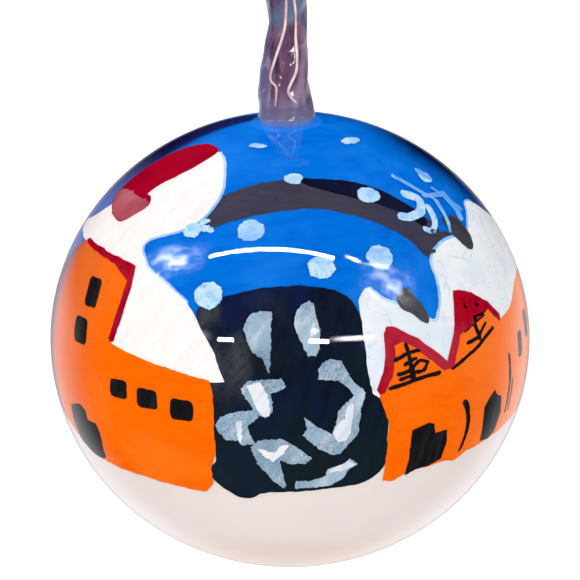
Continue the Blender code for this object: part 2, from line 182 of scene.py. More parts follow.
def painted_foot_reflection(tree, colour, side, back):
    """Under the stem's foot the paint looks mauve through the thick glass, a painted reflection of the stem, with a
    pale rim of painted highlight.
    """
    forward = add_node(tree, "ShaderNodeMath", {"operation": "ADD"}, i0=back, i1=2.6).outputs[0]
    across = add_node(tree, "ShaderNodeMath", {"operation": "ADD"}, i0=side, i1=0.6).outputs[0]
    squares = product(tree, across, across), product(tree, forward, forward)
    reach = add_node(tree, "ShaderNodeMath", {"operation": "ADD"}, i0=squares[0], i1=squares[1]).outputs[0]
    crown = spread(tree, position_part(tree, "Z"), 30, 34)
    speckled = spread(tree, noise_value(tree, place(tree, (900, 900, 900)), detail=3), 0.35, 0.6, 0.35, 1)
    # The mauve under the foot is a painted reflection of the stem.
    mauve = product(tree, product(tree, spread(tree, reach, 8, 25, 0.85, 0), crown), speckled)
    colour = mixed(tree, mauve, colour, STEM_REFLECTION_MAUVE)
    # The pale rim round the foot is a painted highlight.
    rim = product(tree, spread(tree, reach, 19, 26), spread(tree, reach, 28, 38, 0.6, 0))
    return mixed(tree, product(tree, product(tree, rim, crown), speckled), colour, SKY_PALE)


def left_edge_shade(tree, colour):
    """Painted shade at the ball's left rim: the left-hand wall pales towards the side of the ball and then turns grey
    round it.
    """
    lon = longitude(tree)
    colour = mixed(tree, spread(tree, lon, -68, -46, 0.7, 0), colour, WALL_DIM)
    return mixed(tree, spread(tree, lon, -86, -71, 0.92, 0), colour, WALL_GREY)


def right_rim_painted_reflection(tree, colour):
    """Painted reflection at the ball's right rim: the right-hand wall pales towards the side of the ball."""
    return mixed(tree, spread(tree, longitude(tree), 36, 74, 0, 0.85), colour, WALL_RIM_REFLECTION)


def tree_tones_and_painted_glare(tree, colour):
    """The dark tree: navy patches in its crown, green-black at its foot, and grey patches of painted glare at its
    shoulders.
    """
    height = position_part(tree, "Z")
    colour = mixed(tree, spread(tree, height, -12, 3, 0.75, 0), colour, TREE_GREEN)
    navy = noise_value(tree, place(tree, (85, 85, 60)), detail=2)
    share = product(tree, spread(tree, navy, 0.48, 0.62, 0, 0.8), spread(tree, height, -6, 6, 0.25, 1))
    colour = mixed(tree, share, colour, TREE_BLUE)
    # Painted glare: grey patches, broken up by noise, on the tree's shoulders.
    grey = noise_value(tree, place(tree, (120, 120, 70), 20), scale=1.0, detail=3)
    glare_breakup = noise_value(tree, place(tree, (500, 1400, 1400), 60), detail=4, roughness=0.7)
    side = position_part(tree, "X")
    shoulder = product(tree, spread(tree, height, -3, 7, 0.1, 1), spread(tree, product(tree, side, side), 8, 60, 0.15, 1))
    share = product(tree, spread(tree, grey, 0.46, 0.66, 0, 0.75), spread(tree, glare_breakup, 0.3, 0.6, 0.35, 1))
    return mixed(tree, product(tree, share, shoulder), colour, TREE_GLARE_GREY)


def dry_brush(tree, colour):
    """The dark tree shows through where the brush ran dry, in fine grain."""
    grain = noise_value(tree, place(tree, (2600, 2600, 2600)), detail=3, roughness=0.7)
    broad = noise_value(tree, place(tree, (170, 170, 170)), detail=2)
    thin = product(tree, spread(tree, grain, 0.3, 0.74, 0.15, 1), spread(tree, broad, 0.36, 0.66, 0.3, 0.95))
    return mixed(tree, thin, colour, MARK_GREY)


def fine_cracks(tree, colour):
    """Hair cracks and thin places in dried white paint."""
    bent = noise_value(tree, place(tree, (250, 250, 250)), detail=3)
    where = add_node(tree, "ShaderNodeVectorMath", {"operation": "ADD"}, i0=place(tree, (260, 260, 260)), i1=bent)
    cells = add_node(tree, "ShaderNodeTexVoronoi", {"feature": "DISTANCE_TO_EDGE"}, Vector=where.outputs[0], Scale=1.0)
    broken = spread(tree, noise_value(tree, place(tree, (420, 420, 420)), detail=2), 0.42, 0.62)
    line = product(tree, spread(tree, cells.outputs["Distance"], 0.01, 0.045, 0.26, 0), broken)
    colour = mixed(tree, line, colour, SNOW_CRACK)
    thin = spread(tree, noise_value(tree, place(tree, (150, 150, 150)), detail=5, roughness=0.65), 0.5, 0.7, 0, 0.5)
    return mixed(tree, thin, colour, SNOW_THIN)


def warm_foot(tree, colour):
    """The ground turns warmer towards the ball's foot."""
    low = spread(tree, position_part(tree, "Z"), -37, -24, 1, 0)
    return mixed(tree, low, colour, GROUND_WARM)


def paint(name, base, streak, pool, angle=0.0, streaks=0.6, pools=0.6, specks=None, speck_share=0.0, wash=None):
    """Brushed paint: a base tone with streaks along angle, wider pools of another tone, and fine specks."""
    made = new_material(name)
    tree = made.node_tree
    brushed = noise_value(tree, place(tree, (110, 500, 900), angle), detail=4)
    colour = mixed(tree, spread(tree, brushed, 0.42, 0.68, 0, streaks), base, streak)
    pooled = noise_value(tree, place(tree, (75, 75, 75)), detail=3)
    colour = mixed(tree, spread(tree, pooled, 0.45, 0.7, 0, pools), colour, pool)
    if specks:
        fine = noise_value(tree, place(tree, (1900, 1900, 1900)), detail=2, roughness=0.7)
        colour = mixed(tree, spread(tree, fine, 0.66 - speck_share, 0.72 - speck_share), colour, specks)
    if wash:
        colour = wash(tree, colour)
    relief = add_node(tree, "ShaderNodeBump", Height=brushed, Strength=0.12, Distance=0.05 * MM)
    shader = add_node(tree, "ShaderNodeBsdfPrincipled", Base_Color=colour, Roughness=0.55, Normal=relief.outputs[0])
    shader.inputs["Specular IOR Level"].default_value = 0.0
    output = add_node(tree, "ShaderNodeOutputMaterial", Surface=shader.outputs[0])
    output.target = "ALL"
    return made


def lets_lamps_through(tree, glass):
    """A glass shader that light from lamps and off the paint passes straight through."""
    paths = add_node(tree, "ShaderNodeLightPath")
    clear = add_node(tree, "ShaderNodeBsdfTransparent")
    shaded = tree.nodes.new("ShaderNodeMixShader")
    bounced = tree.nodes.new("ShaderNodeMixShader")
    tree.links.new(paths.outputs["Is Shadow Ray"], shaded.inputs[0])
    tree.links.new(glass, shaded.inputs[1])
    tree.links.new(clear.outputs[0], shaded.inputs[2])
    tree.links.new(paths.outputs["Is Diffuse Ray"], bounced.inputs[0])
    tree.links.new(shaded.outputs[0], bounced.inputs[1])
    tree.links.new(clear.outputs[0], bounced.inputs[2])
    output = tree.nodes.new("ShaderNodeOutputMaterial")
    tree.links.new(bounced.outputs[0], output.inputs["Surface"])


# Mesh tools

def add_piece(name, verts, faces, material, slot, *nodes):
    """A mesh piece that rides on the ornament and stands for those CAD nodes."""
    mesh = bpy.data.meshes.new(name)
    mesh.from_pydata([tuple(v) for v in verts], [], faces)
    mesh.shade_smooth()
    mesh.set_sharp_from_angle(angle=math.radians(50))
    mesh.materials.append(material)
    made = bpy.data.objects.new(name, mesh)
    bpy.context.scene.collection.objects.link(made)
    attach(made, "root")
    if nodes:
        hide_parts(*nodes)
    return made


def on_ball(lon, lat, depth=0.0):
    """The point at a longitude and latitude, a depth under the ball's outside."""
    lon, lat = math.radians(lon), math.radians(lat)
    across = (BALL_RADIUS - depth) * math.cos(lat)
    up = (BALL_HALF_HEIGHT - depth) * math.sin(lat)
    return Vector((across * math.sin(lon), -across * math.cos(lon), CENTRE_HEIGHT + up))


def layer_depth(layer):
    return PAINT_DEPTH + layer * LAYER_STEP


def rings_to_faces(rings, around, closed_loop):
    """Quads between rings of around points each, numbered ring by ring."""
    faces = []
    for r in range(rings if closed_loop else rings - 1):
        here, below = r * around, (r + 1) % rings * around
        for i in range(around):
            j = (i + 1) % around
            faces.append((here + i, below + i, below + j, here + j))
    return faces


# Outlines

def rounded(points, closed=True, steps=6):
    """A smooth curve through points."""
    made = []
    count = len(points)
    spans = count if closed else count - 1
    for i in range(spans):
        if closed:
            around = [points[(i + k) % count] for k in (-1, 0, 1, 2)]
        else:
            around = [points[min(max(i + k, 0), count - 1)] for k in (-1, 0, 1, 2)]
        p0, p1, p2, p3 = (Vector(p) for p in around)
        for step in range(steps):
            t = step / steps
            bend = 2 * p1 + (p2 - p0) * t + (2 * p0 - 5 * p1 + 4 * p2 - p3) * t ** 2
            made.append(tuple((bend + (3 * p1 - p0 - 3 * p2 + p3) * t ** 3) / 2))
    if not closed:
        made.append(tuple(points[-1]))
    return made


def dense(points, closed=True, step=EDGE_STEP):
    """The same line with points no further apart than step."""
    made = []
    ends = points[1:] + points[:1] if closed else points[1:]
    for a, b in zip(points, ends):
        a, b = Vector(a), Vector(b)
        steps = max(1, math.ceil((b - a).length / step))
        made += [tuple(a.lerp(b, i / steps)) for i in range(steps)]
    return made if closed else made + [tuple(points[-1])]


def by_hand(points, drift=HAND_DRIFT, rag=0.0):
    """Points moved a little, the way a brush held by hand leaves an edge. A dry brush leaves a ragged one."""
    made = []
    for lon, lat in points:
        spot = Vector((lon, lat, 0))
        push = (noise.noise_vector(spot * 0.3) + noise.noise_vector(spot * 1.3) * 0.6) * drift
        push += noise.noise_vector(spot * 4.1) * rag
        made.append((lon + push.x, lat + push.y))
    return made


def beside(path, widths):
    """Paths to the left and the right of a path, half of the width at each point away."""
    left, right = [], []
    for i, (lon, lat) in enumerate(path):
        squeeze = math.cos(math.radians(lat))
        before, after = path[max(i - 1, 0)], path[min(i + 1, len(path) - 1)]
        along = Vector(((after[0] - before[0]) * squeeze, after[1] - before[1])).normalized()
        out = Vector((-along.y, along.x)) * widths[i] / 2
        left.append((lon + out.x / squeeze, lat + out.y))
        right.append((lon - out.x / squeeze, lat - out.y))
    return left, right


def stroke(points, width, end_width=None, smooth=True, tip=0.6):
    """The outline of a brush stroke: width at its start, end_width at its end, both ends rounded."""
    path = dense(rounded(points, closed=False) if smooth else points, closed=False)
    end_width = width if end_width is None else end_width
    lengths = [0.0]
    for a, b in zip(path, path[1:]):
        lengths.append(lengths[-1] + (Vector(b) - Vector(a)).length)
    widths = []
    for run in lengths:
        share = run / lengths[-1]
        full = width + (end_width - width) * share
        room = min(run, lengths[-1] - run) / (full * tip)
        widths.append(full * math.sqrt(1 - (1 - min(room, 0.999)) ** 2) + 0.05)
    left, right = beside(path, widths)
    return left + right[::-1]


def dot(lon, lat, radius, height=None):
    """A round dab of paint."""
    squeeze = math.cos(math.radians(lat))
    height = height or radius
    made = []
    for i in range(28):
        a = 2 * math.pi * i / 28
        uneven = 1 + 0.13 * noise.noise(Vector((lon + 2 * math.cos(a), lat + 2 * math.sin(a), 3)))
        made.append((lon + radius * uneven * math.cos(a) / squeeze, lat + height * uneven * math.sin(a)))
    return made


def block(lon, lat, width, height, lean=0.0):
    """An upright rectangle about its middle, with rounded corners."""
    made = []
    for i in range(24):
        a = 2 * math.pi * (i + 0.5) / 24
        across = math.copysign(abs(math.cos(a)) ** CORNER, math.cos(a))
        up = math.copysign(abs(math.sin(a)) ** CORNER, math.sin(a))
        made.append((lon + across * width / 2 + up * lean, lat + up * height / 2))
    return made


def film(name, layer, outlines, material, slot, *nodes, drift=HAND_DRIFT, rag=0.0):
    """A closed film of paint just inside the glass, in the shape of each outline."""
    depth = layer_depth(layer)
    verts, faces = [], []
    for outline in outlines:
        sheet = bmesh.new()
        points = by_hand(dense(outline, step=EDGE_STEP / (2 if rag else 1)), drift, rag)
        face = sheet.faces.new([sheet.verts.new((lon, lat, 0)) for lon, lat in points])
        face.normal_update()
        if face.normal.z < 0:
            face.normal_flip()
        bmesh.ops.triangulate(sheet, faces=sheet.faces[:], ngon_method="EAR_CLIP")
        for axis in (0, 1):
            places = [vert.co[axis] for vert in sheet.verts]
            for line in range(math.ceil(min(places) / GRID), math.floor(max(places) / GRID) + 1):
                through, across = Vector((0, 0, 0)), Vector((0, 0, 0))
                through[axis] = line * GRID
                across[axis] = 1
                whole = sheet.verts[:] + sheet.edges[:] + sheet.faces[:]
                bmesh.ops.bisect_plane(sheet, geom=whole, plane_co=through, plane_no=across, dist=0.001)
        bmesh.ops.remove_doubles(sheet, verts=sheet.verts, dist=0.01)
        bmesh.ops.triangulate(sheet, faces=sheet.faces[:])
        sheet.verts.index_update()
        start, count = len(verts), len(sheet.verts)
        flat = [(v.co.x, v.co.y) for v in sheet.verts]
        verts += [on_ball(lon, lat, depth) for lon, lat in flat]
        verts += [on_ball(lon, lat, depth + FILM_THICKNESS) for lon, lat in flat]
        for face in sheet.faces:
            corners = [start + v.index for v in face.verts]
            faces.append(tuple(corners))
            faces.append(tuple(c + count for c in reversed(corners)))
        for edge in sheet.edges:
            if len(edge.link_faces) == 1:
                a, b = (start + loop.vert.index for loop in (edge.link_loops[0], edge.link_loops[0].link_loop_next))
                faces.append((b, a, a + count, b + count))
        sheet.free()
    return add_piece(name, verts, faces, material, slot, *nodes)


def wavy_shell(name, layer, top, bottom, material, slot, *nodes):
    """A film all the way round between two latitudes. Each is a number or a function of longitude."""
    depth = layer_depth(layer)
    around = round(360 / SHELL_GRID)
    rows = 60
    verts = []
    for side in (0, 1):
        for r in range(rows + 1):
            row = r if side == 0 else rows - r
            for i in range(around):
                lon = i * SHELL_GRID
                high = top(lon) if callable(top) else top
                low = bottom(lon) if callable(bottom) else bottom
                lat = high + (low - high) * row / rows
                verts.append(on_ball(lon, lat, depth + side * FILM_THICKNESS))
    return add_piece(name, verts, rings_to_faces(2 * rows + 2, around, True), material, slot, *nodes)


# Paints, from the outside in

SKY_BLUE = srgb(2, 111, 215)
SKY_DEEP = srgb(0, 92, 202)
SKY_PALE = srgb(42, 136, 240)
# Painted shade over the ball's sides
RIM_SHADE_NAVY = srgb(4, 12, 58)
GROUND_WARM = srgb(212, 176, 152)
SNOW_WHITE = srgb(250, 243, 240)
SNOW_SHADE = srgb(226, 220, 224)
SNOW_BLUE = srgb(236, 241, 246)
GROUND_CREAM = srgb(232, 219, 214)
GROUND_SHADE = srgb(226, 210, 204)
SNOW_CRACK = srgb(150, 164, 180)
SNOW_THIN = srgb(218, 228, 240)
SNOW_EDGE = srgb(128, 188, 250)
# A painted reflection of the stem under its foot
STEM_REFLECTION_MAUVE = srgb(104, 108, 150)
# Painted reflection and shade round the ball's left rim, low and high
PAINTED_LEFT_RIM_LOW = srgb(112, 132, 204)
PAINTED_LEFT_RIM_HIGH = srgb(24, 8, 62)
# Painted reflection on the right-hand wall towards the ball's side
WALL_RIM_REFLECTION = srgb(255, 134, 66)
# Painted shade on the left-hand wall towards the ball's side, dim and then grey
WALL_DIM = srgb(222, 106, 50)
WALL_GREY = srgb(98, 92, 112)
HILL_GREY = srgb(62, 60, 78)
HILL_MAUVE = srgb(74, 68, 82)
RIDGE_NAVY = srgb(16, 20, 44)
TREE_NAVY = srgb(18, 26, 46)
TREE_BLACK = srgb(10, 13, 20)
TREE_GREEN = srgb(22, 34, 36)
TREE_BLUE = srgb(18, 28, 66)
# Painted glare on the tree's shoulders
TREE_GLARE_GREY = srgb(74, 76, 82)
WALL_ORANGE = srgb(254, 106, 4)
WALL_DEEP = srgb(244, 92, 0)
WALL_PALE = srgb(255, 126, 40)
TRIM_CRIMSON = srgb(172, 8, 36)
TRIM_DARK = srgb(128, 0, 34)
TRIM_PINK = srgb(206, 70, 92)
FROST_PALE = srgb(196, 226, 250)
FROST_MID = srgb(138, 190, 242)
FROST_BLUE = srgb(86, 160, 240)
MARK_PALE = srgb(226, 230, 238)
MARK_MID = srgb(166, 190, 208)
MARK_GREY = srgb(96, 124, 150)
INK = srgb(22, 20, 22)
INK_SOFT = srgb(44, 46, 50)

# The sky's wash adds painted shade and reflection at the ball's rims and round the stem's foot.
sky_paint = paint("sky_brushed_blue", SKY_BLUE, SKY_DEEP, SKY_PALE, angle=8, streaks=0.55, pools=0.35, wash=painted_rim_shade)
ground_paint = paint("ground_cream", GROUND_CREAM, SNOW_SHADE, GROUND_SHADE, angle=-4, streaks=0.4, pools=0.4, wash=warm_foot)
roof_paint = paint("roof_snow_white", SNOW_WHITE, SNOW_SHADE, SNOW_WHITE, angle=50, streaks=0.35, pools=0.3)
cool_paint = paint("roof_snow_cool", SNOW_BLUE, SNOW_WHITE, SNOW_THIN, angle=-50, streaks=0.5, pools=0.5, wash=fine_cracks)
snow_edge_paint = paint("snow_edge_blue", SNOW_EDGE, FROST_PALE, SNOW_THIN, angle=30, streaks=0.5)
hill_paint = paint("hill_grey", HILL_GREY, HILL_MAUVE, srgb(50, 50, 70), angle=-6, specks=RIDGE_NAVY, speck_share=-0.02)
ridge_paint = paint("ridge_navy", RIDGE_NAVY, TREE_BLACK, srgb(30, 34, 64), angle=-20)
tree_paint = paint("tree_dark", TREE_NAVY, TREE_BLACK, TREE_GREEN, angle=70, wash=tree_tones_and_painted_glare)
wall_paint = paint("wall_orange", WALL_ORANGE, WALL_DEEP, WALL_PALE, angle=-12, streaks=0.5, pools=0.35)
left_wall_paint = paint("left_wall_orange", WALL_ORANGE, WALL_DEEP, WALL_PALE, -12, 0.5, 0.35, wash=left_edge_shade)
right_wall_paint = paint("right_wall_orange", WALL_ORANGE, WALL_DEEP, WALL_PALE, -12, 0.5, 0.35, wash=right_rim_painted_reflection)
trim_paint = paint("trim_crimson", TRIM_CRIMSON, TRIM_DARK, TRIM_PINK, angle=60, streaks=0.7, pools=0.35)
roof_red_paint = paint("roof_crimson", srgb(150, 0, 36), TRIM_DARK, srgb(178, 10, 40), angle=35, streaks=0.6)
faded_paint = paint("roof_crimson_faded", srgb(172, 76, 92), srgb(150, 48, 70), srgb(200, 116, 126), angle=35)
dot_paint = paint("dot_frost", FROST_PALE, FROST_BLUE, FROST_MID, streaks=0.6, pools=0.7, specks=FROST_MID, speck_share=0.09)
dot_core_paint = paint("dot_core", srgb(166, 206, 245), FROST_PALE, FROST_MID, angle=40, streaks=0.7, pools=0.8)
twig_paint = paint("twig_frost", FROST_BLUE, FROST_PALE, srgb(70, 152, 238), angle=-40, streaks=0.6)
mark_paint = paint("mark_frost", MARK_MID, MARK_PALE, MARK_GREY, angle=60, streaks=0.6, pools=0.5, wash=dry_brush)
core_paint = paint("mark_core", MARK_PALE, MARK_MID, SNOW_WHITE, angle=60, streaks=0.4, pools=0.5)
ink_paint = paint("ink_black", INK, INK_SOFT, INK, angle=80, streaks=0.5)
soft_ink_paint = paint("chimney_grey", srgb(64, 64, 70), INK_SOFT, srgb(84, 84, 90), angle=-50)


# The painting: what shows at the front

LEFT_EAVES = [(-74, 30.3), (-60, 29.3), (-46, 28), (-45.3, 24), (-45.6, 17), (-47.3, 9)]
LEFT_SLOPE = [(-40, 7.4), (-30, 5.6), (-20, 4), (-15.2, 3.5)]
GABLE_NEAR = [(21, 0), (23, 5), (24, 10), (24, 15.5), (31, 11.5), (40, 4)]
GABLE_FAR = [(40, 4), (43.5, 12), (46, 21.5), (51, 20), (56.5, 16.5), (61.5, 12)]
RIGHT_EAVES = [(61.5, 12), (68, 13.5), (76, 18), (84, 19.5), (94, 18)]


UNDER_WALL = 0.7  # degrees that snow runs on under the wall in front of it


def horizon(lon):
    """The latitude where the snowy ground meets the sky."""
    angle = math.radians(lon)
    return -7 + 2.2 * math.sin(2 * angle + 0.8) + 1.3 * math.sin(5 * angle)


def add_backing():
    """The sky all round the upper part of the ball, and the snowy ground under it."""
    hole = -math.degrees(math.acos(BRUSH_HOLE_RADIUS / BALL_RADIUS))
    wavy_shell("sky_paint", SKY, 89.5, lambda lon: horizon(lon) - 6, sky_paint, "sky_paint", "sky_coat")
    wavy_shell("ground_paint", GROUND, horizon, hole, ground_paint, "snow_paint", "snow_ground_coat")


def add_hills():
    top = [(-29, 43), (-26, 50), (-14, 55), (0, 57), (12, 57), (25, 55.5), (35, 52), (43, 46.5), (50, 38), (48, 33)]
    foot = [(41, 31.5), (37.5, 36), (30, 41.5), (18, 46), (5, 47.8), (-8, 46.2), (-18, 43.8), (-26, 41)]
    film("hill_paint", HILL, [rounded(top + foot)], hill_paint, "hill_paint", "hill_coat")
    crest = [(4, 57), (12, 57), (25, 55.5), (35, 52), (43, 46.5), (47, 41), (44, 39.5), (40, 43.5), (34, 46.5)]
    film("hill_ridge_paint", TREE, [rounded(crest + [(26, 49.5), (16, 52.5), (8, 54.5)])], ridge_paint, "hill_paint")


def add_tree():
    crown = [(-20, 3), (-20.5, 12), (-23.5, 20), (-18, 23.5), (-9, 26.3), (0, 27.3), (8, 26.8), (13, 25.3), (16.5, 21.5)]
    side = [(18.8, 14), (19.3, 7), (21.4, 0.5), (23, -4), (23.6, -12), (23.8, -19), (19, -23.6)]
    foot = [(10, -25), (0, -25.8), (-7, -26.3), (-10, -28.2), (-14, -27.6), (-19, -23.5), (-19.8, -20), (-18, -16)]
    outline = rounded(crown + side + foot + [(-19, -8)])
    film("tree_paint", TREE, [outline], tree_paint, "tree_paint", "tree_coat")

def add_tree_marks():
    """Frosty brush marks on the dark tree."""
    left_fan = [(-11.4, 17), (-9.6, 20.2), (-6.9, 21.3), (-4.6, 20.8), (-4.5, 9), (-4.8, 6.2), (-6.3, 9.7), (-8.8, 11.1)]
    right_fan = [(0.8, 18), (1.4, 21), (2.9, 22.8), (4.7, 23.4), (5.8, 22.8), (7, 16.5), (7, 12), (6, 10.2), (4.2, 10.4)]
    ribbon = [(-11.4, 2.3), (-9.8, 3.9), (-2.2, 5), (-0.9, 2.8), (-4.6, 1), (-3.8, -0.8), (-4, -3.2), (-5.7, -5)]
    ribbon += [(-7.3, -4.4), (-10.2, -0.2)]
    elbow = [(-17.4, -7.4), (-16.2, -5.2), (-13.9, -4), (-8.1, -2.8), (-7.2, -4.9), (-9.8, -6.9), (-9.2, -9.3)]
    elbow += [(-8.2, -12), (-11.4, -12.4), (-12.3, -11.1), (-15.1, -11.1), (-16.6, -9.3)]
    fish = [(-9.4, -13), (-8.4, -11.6), (-6.5, -10.6), (-2.2, -10.2), (0, -11.4), (2.1, -13), (5.2, -15.7), (3.7, -17)]
    fish += [(0.2, -17.2), (-2.6, -16), (-2, -18.8), (-0.9, -23.6), (-1.4, -24.6), (-4.2, -22), (-7.3, -18.3)]
    hook = [(6.6, 6.8), (7.2, 8.4), (9.1, 9.4), (11.9, 9), (13.4, 5.8), (15, 3.4), (17.6, 0.9), (17.3, -0.8)]
    hook += [(16.3, -3.3), (16.3, -9), (14, -12), (12, -14.7), (10.2, -14.9), (6.7, -13.1), (2.9, -9.5), (3.9, -7.8)]
    hook += [(3.1, -4.4), (6, -7.1), (10, -9.2), (11, -3.7), (14.8, 0.2), (13.4, 2.4), (11, 4.4), (6.6, 4.6)]
    low = [(1.3, -24.6), (1.4, -22.3), (4.6, -22.2), (8.8, -21), (9.3, -19), (12.7, -17.6), (14.4, -16.1), (16.5, -18)]
    low += [(14.4, -19.4), (13.2, -21.8), (10.5, -23.8), (5.8, -24.4)]
    cores = [
        [(-10, 3), (-6.9, 4), (-5.3, 1), (-4.2, -2.4), (-5, -4.5), (-6.3, -4.6), (-7.7, -2.4), (-9, 0.6)],
        [(-12.6, -6.3), (-11, -5.7), (-11.1, -8.4), (-11.4, -12), (-12, -11.4), (-12.3, -8.8)],
        [(-7.7, -13), (-3.8, -14), (-1.8, -11.7), (-0.4, -11.8), (-1.8, -14.4), (-4.2, -16.6), (-6.1, -15.2)],
        [(10.1, -8.8), (10.9, -6.3), (12.5, -5.4), (13.4, -2.4), (14.8, -1.4), (14.2, -8.8), (13.2, -11.4), (11.3, -11.4)],
        [(9.6, -19.2), (14, -16.8), (16, -18), (12.6, -19.6), (9.8, -20.2)],
        [(4.6, 15), (5.6, 18.6), (6.4, 15.4)],
    ]
    film("tree_mark_cores", DETAIL, cores, core_paint, "snow_paint", rag=0.35)
    nodes = [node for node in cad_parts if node.startswith("tree_snow_mark")]
    film("tree_mark_1", WALL, [left_fan, right_fan, ribbon, fish], mark_paint, "snow_paint", *nodes, rag=0.3)
    film("tree_mark_2", TRIM, [elbow, hook, low], mark_paint, "snow_paint", rag=0.3)


def add_roof_snow():
    slope = [(lon - UNDER_WALL, lat - UNDER_WALL) for lon, lat in LEFT_EAVES[:-1]]
    slope += [(lon, lat - UNDER_WALL) for lon, lat in LEFT_EAVES[-1:] + LEFT_SLOPE[:-1]] + [(-17, 3.4), LEFT_SLOPE[-1]]
    bank = [(-18, 10.5), (-21.5, 15.5), (-26, 21.5), (-33, 25.5), (-40, 28.5), (-45.5, 33), (-44.5, 36)]
    point = [(-38.5, 38.2), (-33, 40.6), (-29, 44), (-27, 48), (-26.8, 52), (-29.5, 57), (-35.5, 62), (-43, 64.8)]
    back = [(-50, 63), (-60, 57), (-70, 47), (-75, 40.5), (-82, 35.5), (-90, 32), (-86, 30.4)]
    outline = slope + rounded(bank + point + back, closed=False, steps=4)
    film("left_roof_snow_paint", SNOW, [outline], roof_paint, "snow_paint", "left_roof_snow")
    eaves = GABLE_NEAR + GABLE_FAR[1:] + RIGHT_EAVES[1:]
    crest = [(94, 31), (87, 35.5), (80, 40), (74, 41.2), (68, 38), (60, 34.3), (53, 34.8), (46.5, 33.7), (41.5, 30.5)]
    wedge = [(41.5, 25), (40, 19), (37.5, 15.8), (34, 17.5), (29, 20.5), (24.5, 22.5), (20, 26), (17.3, 23)]
    outline = [(lon, lat - UNDER_WALL) for lon, lat in eaves] + rounded(crest + wedge, closed=False, steps=4)
    outline += [(17.6, 14), (18, 7), (19.2, 0.5)]
    film("right_roof_snow_paint", SNOW, [outline], cool_paint, "snow_paint", "right_roof_snow")
    left_rim = stroke(bank[2:] + point, 1.1, 1.3, tip=0.3)
    right_rim = stroke(crest[2:] + wedge[:-1], 1.3, 1.5, tip=0.3)
    film("roof_snow_rims", TREE, [left_rim, right_rim], snow_edge_paint, "snow_paint")


def add_houses():
    left = [(-93, 4), (-88, 17), (-81, 26.5)] + LEFT_EAVES + LEFT_SLOPE[:-1]
    left += [(-18.6, 3.6), (-17.8, 0), (-17.8, -8), (-18, -15), (-19.6, -19.5), (-19.6, -24), (-22.5, -27.2)]
    left += [(-30, -26.6), (-40, -25.6), (-50, -24.8), (-56, -24), (-64, -21.5), (-73, -17), (-84, -14), (-93, -13)]
    film("left_wall_paint", WALL, [left], left_wall_paint, "wall_paint", "left_house")
    right = GABLE_NEAR + GABLE_FAR[1:] + RIGHT_EAVES[1:]
    foot = [(94, -14), (80, -14.5), (66, -17), (58, -18.6), (50, -19.6), (46, -21.6), (42, -21), (37, -21.5), (32, -22)]
    foot += [(29.5, -23), (27, -24.4), (24, -23.8), (23.8, -16), (23.6, -8), (22.2, -4)]
    film("right_wall_paint", WALL, [right + foot], right_wall_paint, "wall_paint", "right_house")


def add_trims():
    left = stroke(LEFT_EAVES, 1.4, 2.1, smooth=False, tip=0.3)
    film("left_trim_paint", TRIM, [left], trim_paint, "trim_paint", "left_house_trim")
    near = stroke(GABLE_NEAR, 2.4, 2.4, smooth=False, tip=0.3)
    far = stroke(GABLE_FAR, 2.2, 1.6, smooth=False, tip=0.3)
    film("near_gable_trim_paint", TRIM, [near], trim_paint, "trim_paint", "right_house_trim")
    film("far_gable_trim_paint", DETAIL, [far], trim_paint, "trim_paint")
    top = [(-44, 65), (-52, 66.8), (-61, 66.4), (-70, 63), (-76, 56.6), (-79, 49), (-78, 42.5), (-72, 39.6), (-66, 38.2)]
    lower = [(-61, 38.2), (-56.5, 41.2), (-53.4, 44.4), (-55.4, 46.6), (-58.6, 47.2), (-56, 50.8), (-51, 55), (-46, 60)]
    film("crimson_roof_paint", TRIM, [rounded(top + lower, steps=3)], roof_red_paint, "trim_paint", "crimson_roof")
    faded = [(-78, 44.8), (-70, 46), (-62, 45.4), (-55, 45.4), (-53.6, 44.4), (-56.5, 41.4), (-61, 38.4), (-66, 38.4)]
    end = rounded(faded + [(-72, 39.8), (-77.4, 42.4)], steps=3)
    film("crimson_roof_faded_end", DETAIL, [end], faded_paint, "trim_paint", rag=0.7)


def add_openings():
    windows = [block(-58.3, 19.5, 5.8, 7.4, -0.5), block(-60, 9.5, 6, 6.6, -0.3)]
    windows += [block(-44, -1.8, 5.6, 4.7), block(-35.2, -2.9, 5.7, 4.8), block(-25.8, -4.4, 5.9, 5.4)]
    nodes = [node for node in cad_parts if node.startswith("left_window")]
    film("left_windows_paint", DETAIL, windows, ink_paint, "tree_paint", *nodes)
    door = [(-66.5, -11), (-60.5, -9.3), (-58.3, -10.8), (-58.2, -13.2), (-54.4, -13.4), (-53.4, -16), (-54.6, -22.6)]
    door += [(-56.5, -24), (-62, -23.2), (-66.5, -20.6), (-67.5, -15)]
    film("left_door_paint", DETAIL, [door], ink_paint, "tree_paint", "left_door")
    near = [(30, -10.4), (34.6, -8.8), (36, -9.4), (36.8, -12.2), (40.4, -11.6), (41, -15), (40.6, -20)]
    near += [(37, -21.2), (33, -21.8), (30.2, -23.2), (30.2, -18)]
    far = [(53.2, -8.6), (54, -7.4), (57, -5), (58.6, -6.6), (60.6, -7.2), (61.8, -12), (60.8, -17), (58, -18.6), (54.6, -18)]
    nodes = ["right_door_1", "right_door_2", "wall_stroke_1", "wall_stroke_2"]
    strokes = [stroke([(45, -5), (46.6, -8), (47.6, -13), (46.6, -19.6)], 1.6, 0.8)]
    strokes += [stroke([(63.6, 3), (64.8, -4), (64.6, -13)], 1.2, 0.9), stroke([(66.5, -4), (66.5, -13)], 0.7)]
    film("right_doors_paint", DETAIL, [near, far] + strokes, ink_paint, "tree_paint", *nodes)
    far_windows = [block(71.5, 3.4, 3.2, 6.4), block(78.5, 7, 4, 7)]
    film("right_windows_paint", DETAIL, far_windows, ink_paint, "tree_paint", "right_window_1", "right_window_2")


